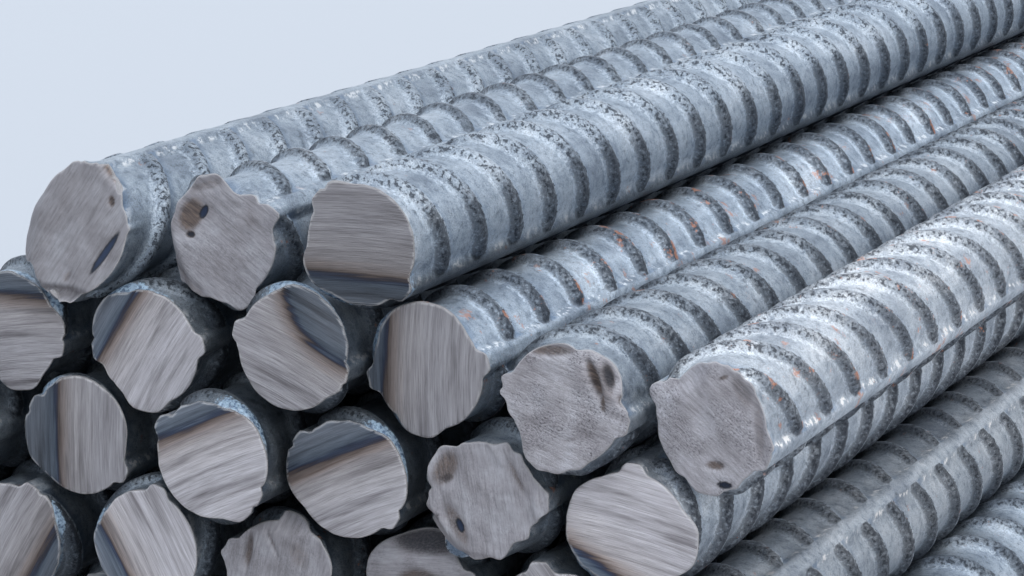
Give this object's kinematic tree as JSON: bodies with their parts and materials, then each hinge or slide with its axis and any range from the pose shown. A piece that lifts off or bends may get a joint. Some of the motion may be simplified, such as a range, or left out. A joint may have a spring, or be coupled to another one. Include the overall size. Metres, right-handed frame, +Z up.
{
  "type": "rebar bundle",
  "caption": "Loose bundle of straight ribbed steel reinforcing bars of one size, lying in staggered rows with sawn and sheared ends.",
  "frame": {"origin": "on the floor, under the middle of the bundle's bounding box", "axes": "+Y along the bars, away from the cut ends that the picture shows; +Z up; +X to the right as seen from those ends"},
  "size_m": [0.3312, 6.0284, 0.1591],
  "materials": {
    "mill_scale_steel": "hot-rolled, blue-grey mill scale, semi-matt"
  },
  "bodies": {
    "root": {"bar_a1": "mill_scale_steel", "bar_a2": "mill_scale_steel", "bar_a3": "mill_scale_steel", "bar_b1": "mill_scale_steel", "bar_b2": "mill_scale_steel", "bar_b3": "mill_scale_steel", "bar_b4": "mill_scale_steel", "bar_b5": "mill_scale_steel", "bar_b6": "mill_scale_steel", "bar_c1": "mill_scale_steel", "bar_c2": "mill_scale_steel", "bar_c3": "mill_scale_steel", "bar_c4": "mill_scale_steel", "bar_c5": "mill_scale_steel", "bar_c6": "mill_scale_steel", "bar_d1": "mill_scale_steel", "bar_d2": "mill_scale_steel", "bar_d3": "mill_scale_steel", "bar_d4": "mill_scale_steel", "bar_d5": "mill_scale_steel", "bar_d6": "mill_scale_steel", "bar_d7": "mill_scale_steel", "bar_e1": "mill_scale_steel", "bar_e2": "mill_scale_steel", "bar_e3": "mill_scale_steel", "bar_e4": "mill_scale_steel", "bar_e5": "mill_scale_steel", "bar_e6": "mill_scale_steel", "bar_e7": "mill_scale_steel", "bar_e8": "mill_scale_steel"}
  },
  "joints": []
}
